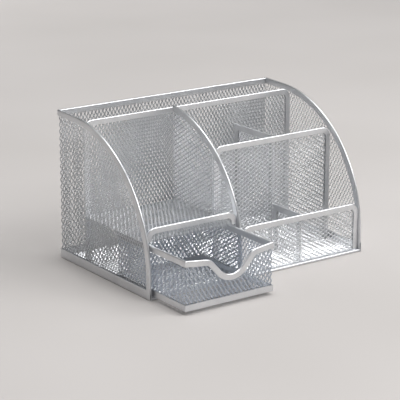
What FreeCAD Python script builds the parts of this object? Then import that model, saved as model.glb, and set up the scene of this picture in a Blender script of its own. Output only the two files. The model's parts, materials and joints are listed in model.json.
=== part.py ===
import FreeCAD, Part
import math
import os

# Pen stand with a drawer, made of expanded steel mesh sheets whose edges sit in folded steel strips.
# Lengths are in millimetres: +X to the right, +Y to the back, +Z up.
# The origin is the middle of the base's front edge strip, on the underside that the stand rests on.

# Overall size of the stand
width = 220.0
depth = 137.0
height = 130.0

# Curved upper edge of the sides: a slightly sloping top, one arc and a short upright foot
top_slope_share = 0.03
foot_upright = 17.0

# Mesh sheet: diamond gaps with their long way upright or level, drawn coarser than the real mesh
mesh_thickness = 1.0
wide_cell = 12.0
small_cell = 9.0
cell_length_share = 4 / 3
strand_width = 2.2
mesh_margin = 1.0

# Folded steel strips: two leaves with the mesh edge between them
strip_leaf = 0.5
strip_width = 5.0
seat_gap = 0.2
corner_radius = 9.0
bottom_strip_height = 8.0
base_strip_leaf = 0.7
base_strip_depth = 4.5

# Where the inner walls stand
rear_slot_depth = 34.5
cup_depth = 54.5
left_bay_width = 89.0
cup_width = 62.5
divider_drop = 1.0
front_panel_height = 43.8

# Drawer: its outside, how far it is pulled out, and its running gaps
drawer_height = 41.8
drawer_side_gap = 1.5
drawer_back_gap = 1.0
drawer_floor_gap = 0.4
drawer_top_gap = 0.8
drawer_pull = 44.0
drawer_strip_height = 5.5

# Scoop for a finger in the drawer's front
scoop_depth = 18.8
scoop_offset = 2.0
scoop_floor_radius = 14.0
scoop_shoulder_radius = 11.0
scoop_flank_angle = 48.0
scoop_shoulder_angle = 7.0

# Shelf over the drawer and the lip that is turned up at its front
lip_setback = 7.5
lip_height = 11.0

# How far a cutting shape runs past what it cuts
overrun = 1.0

# Levels and faces that follow from the sizes above
upright_cell = (small_cell, small_cell * cell_length_share)
level_cell = upright_cell[::-1]
wide_upright_cell = (wide_cell, wide_cell * cell_length_share)
wide_level_cell = wide_upright_cell[::-1]
strip_thickness = mesh_thickness + 2 * strip_leaf
base_strip_height = mesh_thickness + 2 * base_strip_leaf
base_top = base_strip_leaf + mesh_thickness
side_face = width / 2
inner_face = side_face - strip_thickness
front_y = -base_strip_depth / 2
back_y = front_y + depth
base_strip_back = front_y + base_strip_depth
rear_divider_back = back_y - strip_thickness - rear_slot_depth
rear_divider_front = rear_divider_back - strip_thickness
mid_divider_back = rear_divider_front - cup_depth
mid_divider_front = mid_divider_back - strip_thickness
partition_left = -inner_face + left_bay_width
partition_right = partition_left + strip_thickness
cross_left = partition_right + cup_width

# The arc of the sides touches the upright foot and the sloping top
slope_length = math.hypot(1, top_slope_share)
arc_radius = (height - foot_upright - top_slope_share * depth) / (slope_length - top_slope_share)
arc_centre_y = front_y + arc_radius
arc_centre_z = foot_upright
top_normal = (-top_slope_share / slope_length, 1 / slope_length)

# The drawer, as far out as it is pulled
drawer_left = -inner_face + drawer_side_gap
drawer_right = partition_left - drawer_side_gap
drawer_length = rear_divider_front - drawer_back_gap - front_y
drawer_front = front_y - drawer_pull
drawer_back = drawer_front + drawer_length
drawer_bottom = base_strip_height + drawer_floor_gap
drawer_top = drawer_bottom + drawer_height
shelf_bottom = drawer_top + drawer_top_gap
shelf_top = shelf_bottom + mesh_thickness
lip_front = front_y + lip_setback
lip_back = lip_front + strip_thickness
lip_top = shelf_top + lip_height

nodes = {}


def side_height(y):
    """Height of the curved edge of the sides at the place y."""
    arc_start_y = arc_centre_y + arc_radius * top_normal[0]
    if y > arc_start_y:
        return height - top_slope_share * (back_y - y)
    return arc_centre_z + math.sqrt(arc_radius ** 2 - (y - arc_centre_y) ** 2)


rear_divider_top = side_height(rear_divider_front) - divider_drop
mid_divider_top = side_height(mid_divider_front) - divider_drop


def to_space(plane, level, point):
    """A point of a flat outline, placed in space at a level along the plane's normal."""
    u, v = point
    if plane == "x":
        return FreeCAD.Vector(level, u, v)
    if plane == "y":
        return FreeCAD.Vector(u, level, v)
    return FreeCAD.Vector(u, v, level)


def normal_of(plane, length):
    """A vector along the plane's normal."""
    return FreeCAD.Vector(*[length if plane == axis else 0 for axis in "xyz"])


def outline_wire(plane, level, outline):
    """A closed wire from runs of two points, a line, or three points, an arc."""
    edges = []
    for run in outline:
        points = [to_space(plane, level, point) for point in run]
        if len(points) == 2:
            edges.append(Part.makeLine(*points))
        else:
            edges.append(Part.Arc(*points).toShape())
    return Part.Wire(edges)


def plate(plane, level, thickness, outline):
    """A flat plate of an outline, from a level along the plane's normal."""
    face = Part.Face(outline_wire(plane, level, outline))
    return face.extrude(normal_of(plane, thickness))


def joined(points):
    """Lines that join the points one after another and close the outline."""
    following = points[1:] + points[:1]
    return list(zip(points, following))


def rectangle(u_low, u_high, v_low, v_high):
    return joined([(u_low, v_low), (u_high, v_low), (u_high, v_high), (u_low, v_high)])


def arch(u_low, u_high, v_low, v_high, radius):
    """A rectangle with its two upper corners rounded."""
    diagonal = radius * (1 - math.sqrt(0.5))
    right_end = (u_high, v_high - radius)
    right_middle = (u_high - diagonal, v_high - diagonal)
    top_right = (u_high - radius, v_high)
    top_left = (u_low + radius, v_high)
    left_middle = (u_low + diagonal, v_high - diagonal)
    left_end = (u_low, v_high - radius)
    return [
        ((u_low, v_low), (u_high, v_low)),
        ((u_high, v_low), right_end),
        (right_end, right_middle, top_right),
        (top_right, top_left),
        (top_left, left_middle, left_end),
        (left_end, (u_low, v_low)),
    ]


def side_outline(inset, back, foot):
    """A side's outline, its curved edge moved in by the inset, from a back line down to a foot line."""
    radius = arc_radius - inset
    slope_angle = math.atan2(top_normal[1], top_normal[0])
    back_share = min((back - arc_centre_y) / radius, 1)
    start_angle = max(slope_angle, math.acos(back_share))
    angles = (start_angle, (start_angle + math.pi) / 2, math.pi)
    arc = tuple((arc_centre_y + radius * math.cos(a), arc_centre_z + radius * math.sin(a)) for a in angles)
    foot_front = (arc[2][0], foot)
    foot_back = (back, foot)
    outline = [arc, (arc[2], foot_front), (foot_front, foot_back)]
    if start_angle > slope_angle:
        return outline + [(foot_back, arc[0])]
    top_back = (back, arc[0][1] + top_slope_share * (back - arc[0][0]))
    return [(top_back, arc[0])] + outline + [(foot_back, top_back)]


def on_circle(centre, radius, angle):
    """The point of a circle at an angle in degrees, counted from straight down."""
    turn = math.radians(angle)
    return (centre[0] + radius * math.sin(turn), centre[1] - radius * math.cos(turn))


def scoop_side(inset, side, end_x):
    """Half of the drawer front's upper edge, from the scoop's lowest point to an upright at end_x.

    side is 1 to the right and -1 to the left. The shoulder is placed so that the edge with no inset
    reaches the drawer's top at the drawer's own side."""
    scoop_x = (drawer_left + drawer_right) / 2 + scoop_offset
    half = side * ((drawer_right if side > 0 else drawer_left) - scoop_x)
    flank = math.radians(scoop_flank_angle)
    gentle = math.radians(scoop_shoulder_angle)
    arcs_across = scoop_floor_radius * math.sin(flank)
    arcs_across += scoop_shoulder_radius * (math.sin(flank) - math.sin(gentle))
    arcs_up = scoop_floor_radius * (1 - math.cos(flank))
    arcs_up += scoop_shoulder_radius * (math.cos(gentle) - math.cos(flank))
    across = half - arcs_across
    up = scoop_depth - arcs_up
    flank_run = (up * math.cos(gentle) - across * math.sin(gentle)) / math.sin(flank - gentle)

    floor_centre = (0, drawer_top - scoop_depth + scoop_floor_radius)
    flank_foot = on_circle(floor_centre, scoop_floor_radius, scoop_flank_angle)
    flank_head = (
        flank_foot[0] + flank_run * math.cos(flank),
        flank_foot[1] + flank_run * math.sin(flank),
    )
    shoulder_centre = on_circle(flank_head, scoop_shoulder_radius, scoop_flank_angle)

    floor_radius = scoop_floor_radius + inset
    shoulder_radius = scoop_shoulder_radius - inset
    middle_angle = (scoop_flank_angle + scoop_shoulder_angle) / 2
    floor_low = on_circle(floor_centre, floor_radius, 0)
    floor_middle = on_circle(floor_centre, floor_radius, scoop_flank_angle / 2)
    floor_end = on_circle(floor_centre, floor_radius, scoop_flank_angle)
    shoulder_start = on_circle(shoulder_centre, -shoulder_radius, scoop_flank_angle)
    shoulder_middle = on_circle(shoulder_centre, -shoulder_radius, middle_angle)
    shoulder_end = on_circle(shoulder_centre, -shoulder_radius, scoop_shoulder_angle)
    end_across = side * (end_x - scoop_x)
    end = (end_across, shoulder_end[1] + (end_across - shoulder_end[0]) * math.tan(gentle))
    half_runs = [
        (floor_low, floor_middle, floor_end),
        (floor_end, shoulder_start),
        (shoulder_start, shoulder_middle, shoulder_end),
        (shoulder_end, end),
    ]
    return [tuple((scoop_x + side * u, v) for u, v in run) for run in half_runs]


def drawer_front_outline(inset, left, right, foot):
    """The drawer front's outline, its scooped edge moved in by the inset."""
    left_runs = [run[::-1] for run in scoop_side(inset, -1, left)[::-1]]
    right_runs = scoop_side(inset, 1, right)
    top_left = left_runs[0][0]
    top_right = right_runs[-1][-1]
    feet = [(top_right, (right, foot)), ((right, foot), (left, foot)), ((left, foot), top_left)]
    clockwise = left_runs + right_runs + feet
    return [run[::-1] for run in clockwise[::-1]]


def diamond(u, v, cell):
    """One gap of the mesh, round its middle, in a cell of the given width and height."""
    open_share = 1 - strand_width / min(cell)
    half_width = cell[0] * open_share / 2
    half_height = cell[1] * open_share / 2
    return joined([(u - half_width, v), (u, v - half_height), (u + half_width, v), (u, v + half_height)])


def diamond_rows(low_u, high_u, low_v, high_v, cell):
    """Middles of the gaps over a rectangle, in rows that are staggered by half a cell."""
    middle_u = (low_u + high_u) / 2
    middle_v = (low_v + high_v) / 2
    cell_width, cell_height = cell
    rows = math.ceil((high_v - low_v) / cell_height)
    columns = math.ceil((high_u - low_u) / cell_width)
    for row in range(-rows, rows + 1):
        for column in range(-columns, columns + 1):
            shift = (row % 2) / 2
            yield middle_u + (column + shift) * cell_width, middle_v + row * cell_height / 2


def net(plane, level, outline, clear_outline, cell=upright_cell):
    """A mesh sheet as one holed face with a thickness: its gaps lie within the clear outline."""
    clear = Part.Face(outline_wire(plane, level, clear_outline))
    corners = [point for run in clear_outline for point in run]
    low_u = min(point[0] for point in corners)
    high_u = max(point[0] for point in corners)
    low_v = min(point[1] for point in corners)
    high_v = max(point[1] for point in corners)
    tolerance = seat_gap / 2
    gaps = []
    for u, v in diamond_rows(low_u, high_u, low_v, high_v, cell):
        gap = diamond(u, v, cell)
        if all(clear.isInside(to_space(plane, level, run[0]), tolerance, True) for run in gap):
            wire = outline_wire(plane, level, gap)
            wire.reverse()
            gaps.append(wire)
    face = Part.Face([outline_wire(plane, level, outline)] + gaps)
    return face.extrude(normal_of(plane, mesh_thickness))


def box(x_low, x_high, y_low, y_high, z_low, z_high):
    corner = FreeCAD.Vector(x_low, y_low, z_low)
    return Part.makeBox(x_high - x_low, y_high - y_low, z_high - z_low, corner)


def keep(name, shape):
    """One piece of the object, a single solid, under its own name."""
    if len(shape.Solids) != 1:
        raise ValueError(name + " is not one solid")
    nodes[name] = shape.Solids[0]


def folded(plane, level, outer, opening, groove):
    """A folded strip: the outer outline less the opening, with a groove for the mesh edge."""
    body = plate(plane, level, strip_thickness, outer)
    opened = body.cut(plate(plane, level - overrun, strip_thickness + 2 * overrun, opening))
    return opened.cut(plate(plane, level + strip_leaf, mesh_thickness, groove))


def wall_outline(low, high, foot, top, radius, inset):
    """The outline of a wall, moved in by the inset: its upper corners round, or square without a radius."""
    if radius > inset:
        return arch(low + inset, high - inset, foot, top - inset, radius - inset)
    return rectangle(low + inset, high - inset, foot, top - inset)


def framed_wall(name, plane, level, low, high, foot, top, cell=upright_cell, radius=corner_radius):
    """A mesh wall with a strip round its two uprights and its top."""
    below = foot - overrun
    outer = wall_outline(low, high, foot, top, radius, 0)
    opening = wall_outline(low, high, below, top, radius, strip_width)
    groove = wall_outline(low, high, below, top, radius, strip_leaf)
    keep(name + "_frame", folded(plane, level, outer, opening, groove))

    edge = strip_leaf + seat_gap
    clear = strip_width + mesh_margin
    sheet = wall_outline(low, high, foot, top, radius, edge)
    room = rectangle(low + clear, high - clear, foot + mesh_margin, top - clear)
    keep(name + "_mesh", net(plane, level + strip_leaf, sheet, room, cell))


def build_side(name, outer_x, inner_x):
    """A side of the stand: mesh, curved rim and bottom strip between its two faces."""
    level = min(outer_x, inner_x)
    foot = bottom_strip_height
    past_back = back_y + overrun
    rim_outer = side_outline(0, back_y, foot)
    rim_opening = side_outline(strip_width, past_back, foot - overrun)
    rim_groove = side_outline(strip_leaf, past_back, foot - overrun)
    keep(name + "_rim", folded("x", level, rim_outer, rim_opening, rim_groove))

    edge = strip_leaf + seat_gap
    clear = strip_width + mesh_margin
    sheet = side_outline(edge, back_y - strip_leaf, edge)
    room = side_outline(clear, back_y - strip_thickness - mesh_margin, foot + mesh_margin)
    keep(name + "_mesh", net("x", level + strip_leaf, sheet, room))

    strip = box(level, level + strip_thickness, front_y, back_y, 0, bottom_strip_height)
    groove_low = level + strip_leaf
    groove_front = front_y + strip_leaf
    groove_top = bottom_strip_height + overrun
    groove = box(groove_low, groove_low + mesh_thickness, groove_front, back_y, strip_leaf, groove_top)
    keep(name.replace("side", "bottom_strip"), strip.cut(groove))


def build_back():
    """The back of the stand: mesh, top rim and bottom strip between the two sides."""
    front = back_y - strip_thickness
    mesh_y = front + strip_leaf
    edge = strip_leaf + seat_gap
    rim = box(-inner_face, inner_face, front, back_y, height - strip_width, height)
    rim_groove_low = height - strip_width - overrun
    rim_groove_high = height - strip_leaf
    groove = box(-inner_face, inner_face, mesh_y, mesh_y + mesh_thickness, rim_groove_low, rim_groove_high)
    keep("back_top_rim", rim.cut(groove))

    strip = box(-inner_face, inner_face, front, back_y, 0, bottom_strip_height)
    groove_top = bottom_strip_height + overrun
    groove = box(-inner_face, inner_face, mesh_y, mesh_y + mesh_thickness, strip_leaf, groove_top)
    keep("back_bottom_strip", strip.cut(groove))

    sheet = rectangle(-inner_face, inner_face, edge, height - edge)
    clear = inner_face - mesh_margin
    room_low = bottom_strip_height + mesh_margin
    room = rectangle(-clear, clear, room_low, height - strip_width - mesh_margin)
    keep("back_mesh", net("y", mesh_y, sheet, room, wide_upright_cell))


def build_base():
    """The floor of the stand: mesh, with a strip folded round its front edge."""
    strip = box(-inner_face, inner_face, front_y, base_strip_back, 0, base_strip_height)
    groove_front = front_y + base_strip_leaf
    groove_back = base_strip_back + overrun
    groove = box(-inner_face, inner_face, groove_front, groove_back, base_strip_leaf, base_top)
    keep("front_bottom_strip", strip.cut(groove))

    sheet_back = back_y - strip_thickness
    sheet = rectangle(-inner_face, inner_face, groove_front + seat_gap, sheet_back)
    clear = inner_face - mesh_margin
    room = rectangle(-clear, clear, base_strip_back + mesh_margin, sheet_back - mesh_margin)
    keep("base_mesh", net("z", base_strip_leaf, sheet, room, wide_level_cell))


def build_partition():
    """The wall between the drawer's bay and the cups, with the same curved edge as the sides."""
    past_back = rear_divider_front + overrun
    below = base_strip_height - overrun
    outer = side_outline(0, rear_divider_front, base_strip_height)
    opening = side_outline(strip_width, past_back, below)
    groove = side_outline(strip_leaf, past_back, below)
    keep("centre_partition_rim", folded("x", partition_left, outer, opening, groove))

    edge = strip_leaf + seat_gap
    clear = strip_width + mesh_margin
    sheet = side_outline(edge, rear_divider_front, base_top)
    room = side_outline(clear, rear_divider_front - mesh_margin, base_strip_height + mesh_margin)
    mesh = net("x", partition_left + strip_leaf, sheet, room, level_cell)
    over_strip = box(partition_left, partition_right, front_y, base_strip_back, 0, base_strip_height)
    keep("centre_partition_mesh", mesh.cut(over_strip))


def build_shelf():
    """The shelf over the drawer, and the lip turned up at its front."""
    lip_mesh_back = lip_back - strip_leaf
    sheet = rectangle(-inner_face, partition_left, lip_mesh_back, rear_divider_front)
    room_left = -inner_face + mesh_margin
    room_right = partition_left - mesh_margin
    room = rectangle(room_left, room_right, lip_back + mesh_margin, rear_divider_front - mesh_margin)
    keep("shelf_mesh", net("z", shelf_bottom, sheet, room))

    outer = arch(-inner_face, partition_left, shelf_top, lip_top, corner_radius)
    opening_left = -inner_face + strip_width
    opening_right = partition_left - strip_width
    opening_radius = corner_radius - strip_width
    below = shelf_top - overrun
    opening = arch(opening_left, opening_right, below, lip_top - strip_width, opening_radius)
    groove_left = -inner_face + strip_leaf
    groove_right = partition_left - strip_leaf
    groove = arch(groove_left, groove_right, below, lip_top - strip_leaf, corner_radius - strip_leaf)
    keep("shelf_lip_rim", folded("y", lip_front, outer, opening, groove))

    edge = strip_leaf + seat_gap
    sheet_radius = corner_radius - edge
    sheet = arch(-inner_face + edge, partition_left - edge, shelf_bottom, lip_top - edge, sheet_radius)
    keep("shelf_lip_mesh", plate("y", lip_front + strip_leaf, mesh_thickness, sheet))


def build_drawer_walls():
    """The drawer's two sides and its back: a mesh wall, a rim and a bottom strip each."""
    inner_front = drawer_front + strip_thickness
    inner_back = drawer_back - strip_thickness
    walls = [
        ("drawer_left", "x", drawer_left, inner_front, inner_back),
        ("drawer_right", "x", drawer_right - strip_thickness, inner_front, inner_back),
        ("drawer_back", "y", inner_back, drawer_left, drawer_right),
    ]
    rim_low = drawer_top - strip_width
    strip_high = drawer_bottom + drawer_strip_height
    edge = strip_leaf + seat_gap
    for name, plane, level, low, high in walls:
        rim = rectangle(low, high, rim_low, drawer_top)
        rim_groove = rectangle(low, high, rim_low - overrun, drawer_top - strip_leaf)
        rim_plate = plate(plane, level, strip_thickness, rim)
        keep(name + "_rim", rim_plate.cut(plate(plane, level + strip_leaf, mesh_thickness, rim_groove)))

        strip = rectangle(low, high, drawer_bottom, strip_high)
        strip_groove = rectangle(low, high, drawer_bottom + strip_leaf, strip_high + overrun)
        strip_plate = plate(plane, level, strip_thickness, strip)
        strip_cut = plate(plane, level + strip_leaf, mesh_thickness, strip_groove)
        keep(name + "_bottom_strip", strip_plate.cut(strip_cut))

        sheet = rectangle(low, high, drawer_bottom + edge, drawer_top - edge)
        room_low = strip_high + mesh_margin
        room = rectangle(low + mesh_margin, high - mesh_margin, room_low, rim_low - mesh_margin)
        keep(name + "_mesh", net(plane, level + strip_leaf, sheet, room))


def build_drawer_front():
    """The drawer's front with its scooped edge, and the rim that follows the scoop."""
    below = drawer_bottom - overrun
    edge = strip_leaf + seat_gap
    clear = strip_width + mesh_margin
    outer = drawer_front_outline(0, drawer_left, drawer_right, drawer_bottom)
    opening = drawer_front_outline(strip_width, drawer_left - overrun, drawer_right + overrun, below)
    groove = drawer_front_outline(strip_leaf, drawer_left + strip_leaf, drawer_right - strip_leaf, below)
    keep("drawer_front_rim", folded("y", drawer_front, outer, opening, groove))

    strip_high = drawer_bottom + drawer_strip_height
    strip = rectangle(drawer_left, drawer_right, drawer_bottom, strip_high)
    strip_low = drawer_bottom + strip_leaf
    sheet_right = drawer_right - strip_leaf
    strip_groove = rectangle(drawer_left + strip_leaf, sheet_right, strip_low, strip_high + overrun)
    strip_plate = plate("y", drawer_front, strip_thickness, strip)
    strip_cut = plate("y", drawer_front + strip_leaf, mesh_thickness, strip_groove)
    keep("drawer_front_bottom_strip", strip_plate.cut(strip_cut))

    sheet = drawer_front_outline(edge, drawer_left + strip_leaf, sheet_right, drawer_bottom + edge)
    room_left = drawer_left + mesh_margin
    room_right = drawer_right - mesh_margin
    room = drawer_front_outline(clear, room_left, room_right, strip_high + mesh_margin)
    keep("drawer_front_mesh", net("y", drawer_front + strip_leaf, sheet, room))


def build_drawer_floor():
    """The drawer's mesh floor, held between its four bottom strips."""
    left = drawer_left + strip_thickness
    right = drawer_right - strip_thickness
    front = drawer_front + strip_thickness
    back = drawer_back - strip_thickness
    sheet = rectangle(left, right, front, back)
    room = rectangle(left + mesh_margin, right - mesh_margin, front + mesh_margin, back - mesh_margin)
    keep("drawer_floor_mesh", net("z", drawer_bottom + base_strip_leaf, sheet, room))


def build_dividers():
    """The walls across the stand, and the two short ones between them."""
    panel_front = base_strip_back - strip_thickness
    framed_wall("rear_divider", "y", rear_divider_front,
                -inner_face, inner_face, base_top, rear_divider_top, wide_upright_cell)
    framed_wall("mid_divider", "y", mid_divider_front,
                partition_right, inner_face, base_top, mid_divider_top, level_cell)
    framed_wall("front_panel", "y", panel_front,
                partition_right, inner_face, base_strip_height, front_panel_height, level_cell)
    framed_wall("rear_cross_divider", "x", cross_left,
                mid_divider_back, rear_divider_front, base_top, mid_divider_top, radius=0)
    framed_wall("front_cross_divider", "x", cross_left,
                base_strip_back, mid_divider_front, base_top, front_panel_height, radius=0)


def main():
    build_side("left_side", -side_face, -inner_face)
    build_side("right_side", side_face, inner_face)
    build_back()
    build_base()
    build_dividers()
    build_partition()
    build_shelf()
    build_drawer_front()
    build_drawer_walls()
    build_drawer_floor()
    os.makedirs("parts", exist_ok=True)
    for name, shape in nodes.items():
        shape.exportStep("parts/" + name + ".step")
        print(name, "valid", shape.isValid(), "volume", round(shape.Volume))


main()
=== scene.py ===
"""Pen stand with a drawer: expanded steel mesh with folded steel strips round the edges.

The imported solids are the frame. Each mesh sheet and each strip gets its own finished piece in
the same place: the sheets as raised diamond mesh, the strips as folded sections swept along
their paths. Lengths are in metres; MM turns millimetres into metres.
"""

import json
import logging
import math
from dataclasses import dataclass, field
from enum import Enum
from functools import partial
from typing import Any, Callable, Optional

import bmesh
import bpy
from bpy.types import Material, Mesh, Node, NodeSocket, NodeTree, Object
from mathutils import Matrix, Vector

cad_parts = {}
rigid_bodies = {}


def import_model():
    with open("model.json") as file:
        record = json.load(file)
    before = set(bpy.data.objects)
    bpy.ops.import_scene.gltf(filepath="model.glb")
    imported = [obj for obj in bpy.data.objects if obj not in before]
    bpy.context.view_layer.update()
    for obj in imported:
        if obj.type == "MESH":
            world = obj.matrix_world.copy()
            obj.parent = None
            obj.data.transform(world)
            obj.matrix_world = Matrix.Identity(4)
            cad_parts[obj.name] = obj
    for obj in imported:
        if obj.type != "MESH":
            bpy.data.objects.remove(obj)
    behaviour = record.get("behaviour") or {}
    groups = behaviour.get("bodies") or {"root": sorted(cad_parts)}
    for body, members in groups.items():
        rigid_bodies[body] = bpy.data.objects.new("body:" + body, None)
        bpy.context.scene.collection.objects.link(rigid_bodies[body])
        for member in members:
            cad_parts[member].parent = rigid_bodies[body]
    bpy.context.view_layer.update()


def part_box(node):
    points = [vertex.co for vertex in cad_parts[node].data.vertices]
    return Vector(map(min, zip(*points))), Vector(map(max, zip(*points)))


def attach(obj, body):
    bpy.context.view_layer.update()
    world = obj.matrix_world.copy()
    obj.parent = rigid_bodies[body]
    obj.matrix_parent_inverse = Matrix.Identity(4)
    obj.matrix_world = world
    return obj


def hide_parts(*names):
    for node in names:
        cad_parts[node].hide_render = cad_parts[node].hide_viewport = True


LOG = logging.getLogger("pen_stand")
MM = 0.001
SAME_PLACE = 0.001 * MM
ROUND_CORNER = 9 * MM
# The colour sockets of a Mix node, which only their numbers tell apart
MIX_FIRST, MIX_SECOND, MIX_RESULT = 6, 7, 2

Pair = tuple[float, float]
Place = tuple[float, float, float]


def linear_colour(code: str) -> tuple[float, float, float, float]:
    """Turns an sRGB hex value into a linear colour.

    Args:
        code: six hex digits, with or without a leading #.

    Returns:
        Red, green, blue and an alpha of 1.
    """
    digits = code.lstrip("#")
    shares = [int(digits[place:place + 2], 16) / 255 for place in (0, 2, 4)]
    red, green, blue = [s / 12.92 if s <= 0.04045 else ((s + 0.055) / 1.055) ** 2.4 for s in shares]
    return red, green, blue, 1.0


def add_node(tree: NodeTree, kind: str, settings: Optional[dict[str, Any]] = None,
             inputs: Optional[dict[Any, Any]] = None) -> Node:
    """Adds a node to a tree with its settings, values and links.

    Args:
        tree: the node tree that takes the node.
        kind: the node's type.
        settings: the node's own properties.
        inputs: by socket name or number, either a value or another node's output socket to link.

    Returns:
        The new node.
    """
    node = tree.nodes.new(kind)
    for name, value in (settings or {}).items():
        setattr(node, name, value)
    for place, value in (inputs or {}).items():
        if isinstance(value, NodeSocket):
            tree.links.new(value, node.inputs[place])
        else:
            node.inputs[place].default_value = value
    return node


def bare_material(name: str) -> tuple[Material, Callable[..., Node]]:
    """Makes a material without nodes.

    Args:
        name: the material's name.

    Returns:
        The material, and the function that adds its nodes.
    """
    material = bpy.data.materials.new(name)
    material.use_nodes = True
    material.node_tree.nodes.clear()
    return material, partial(add_node, material.node_tree)


def into_scene(name: str, data: Any) -> Object:
    """Makes an object of its data and puts it into the scene.

    Args:
        name: the object's name.
        data: its mesh, light or camera.

    Returns:
        The object, at the origin.
    """
    item = bpy.data.objects.new(name, data)
    bpy.context.scene.collection.objects.link(item)
    return item


class Facing(Enum):
    """Which way a flat sheet faces, as its level right, level up and normal directions."""

    SIDEWAYS = ((0, 1, 0), (0, 0, 1), (1, 0, 0))
    FRONT = ((1, 0, 0), (0, 0, 1), (0, -1, 0))
    UP = ((1, 0, 0), (0, 1, 0), (0, 0, 1))

    def placement(self, level: float, swapped: bool = False) -> Matrix:
        """Gives the matrix from a sheet's own plane to its place.

        Args:
            level: the sheet's place along the world axis that it faces.
            swapped: whether the sheet's own first direction is upright instead of level.

        Returns:
            A rotation with the offset along the facing axis.
        """
        right, up, normal = (Vector(direction) for direction in self.value)
        axis = Vector([abs(share) for share in normal])
        if swapped:
            right, up, normal = up, right, -normal
        matrix = Matrix((right, up, normal)).transposed().to_4x4()
        matrix.translation = axis * level
        return matrix


class LongWay(Enum):
    """Which way the long way of the diamond gaps runs on a sheet."""

    UPRIGHT = "upright"
    LEVEL = "level"


class Body(Enum):
    """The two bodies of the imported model."""

    STAND = "stand"
    DRAWER = "drawer"


@dataclass(frozen=True)
class PowderCoat:
    """Silver powder coat, baked on steel: fine metallic grain under a satin, slightly wavy skin."""

    name: str
    base: str = "#D5D7DA"
    pale: str = "#ECEDEF"
    roughness: float = 0.34
    roughness_spread: float = 0.03
    metallic: float = 0.85
    grain_pitch: float = 0.7 * MM
    grain_share: float = 0.65
    cloud_pitch: float = 22 * MM
    tint_low: float = 0.55
    tint_high: float = 1.1
    peel_pitch: float = 1.6 * MM
    peel_height: float = 0.05 * MM
    peel_strength: float = 0.08

    def build(self) -> Material:
        """Builds the material.

        Returns:
            A material that reads Object coordinates.
        """
        material, add = bare_material(self.name)
        place = add("ShaderNodeTexCoord").outputs["Object"]
        # The metallic grain of the coat, drawn at the finest size that still shows
        grain = add("ShaderNodeTexNoise", inputs={
            "Vector": place, "Scale": 1 / self.grain_pitch, "Detail": 2.0, "Roughness": 0.6})
        # Slow clouds of thicker and thinner coat
        cloud = add("ShaderNodeTexNoise", inputs={
            "Vector": place, "Scale": 1 / self.cloud_pitch, "Detail": 3.0})
        both = add("ShaderNodeMath", {"operation": "MULTIPLY_ADD"}, {
            0: grain.outputs["Fac"], 1: self.grain_share, 2: cloud.outputs["Fac"]})
        share = add("ShaderNodeMapRange", inputs={
            "Value": both.outputs[0], "From Min": self.tint_low, "From Max": self.tint_high})
        tint = add("ShaderNodeMix", {"data_type": "RGBA"}, {
            "Factor": share.outputs[0], MIX_FIRST: linear_colour(self.base),
            MIX_SECOND: linear_colour(self.pale)})
        rough = add("ShaderNodeMapRange", inputs={
            "Value": share.outputs[0], "To Min": self.roughness - self.roughness_spread,
            "To Max": self.roughness + self.roughness_spread})
        # Orange peel: the low waves that a powder keeps when it melts
        peel = add("ShaderNodeTexNoise", inputs={
            "Vector": place, "Scale": 1 / self.peel_pitch, "Detail": 1.0})
        waves = add("ShaderNodeBump", inputs={
            "Height": peel.outputs["Fac"], "Strength": self.peel_strength,
            "Distance": self.peel_height})
        shader = add("ShaderNodeBsdfPrincipled", inputs={
            "Base Color": tint.outputs[MIX_RESULT], "Metallic": self.metallic,
            "Roughness": rough.outputs[0], "Normal": waves.outputs[0]})
        add("ShaderNodeOutputMaterial", inputs={"Surface": shader.outputs[0]})
        return material


@dataclass(frozen=True)
class TableLaminate:
    """Matt pale laminate, pressed on board: no shine, only faint wide clouds of tone."""

    base: str = "#C6C2C0"
    dark: str = "#B8B4B1"
    roughness: float = 0.95
    specular: float = 0.2
    clouds_in_a_metre: float = 3.0

    def build(self) -> Material:
        """Builds the material.

        Returns:
            A material that reads Object coordinates.
        """
        material, add = bare_material("pale_table")
        place = add("ShaderNodeTexCoord").outputs["Object"]
        cloud = add("ShaderNodeTexNoise", inputs={
            "Vector": place, "Scale": self.clouds_in_a_metre, "Detail": 2.0})
        tint = add("ShaderNodeMix", {"data_type": "RGBA"}, {
            "Factor": cloud.outputs["Fac"], MIX_FIRST: linear_colour(self.base),
            MIX_SECOND: linear_colour(self.dark)})
        shader = add("ShaderNodeBsdfPrincipled", inputs={
            "Base Color": tint.outputs[MIX_RESULT], "Roughness": self.roughness,
            "Specular IOR Level": self.specular})
        add("ShaderNodeOutputMaterial", inputs={"Surface": shader.outputs[0]})
        return material


@dataclass(frozen=True)
class Finishes:
    """The materials of the object's pieces, by use."""

    sheet: Material
    strip: Material
    drawer_sheet_painted_shade: Material
    drawer_strip: Material


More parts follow.
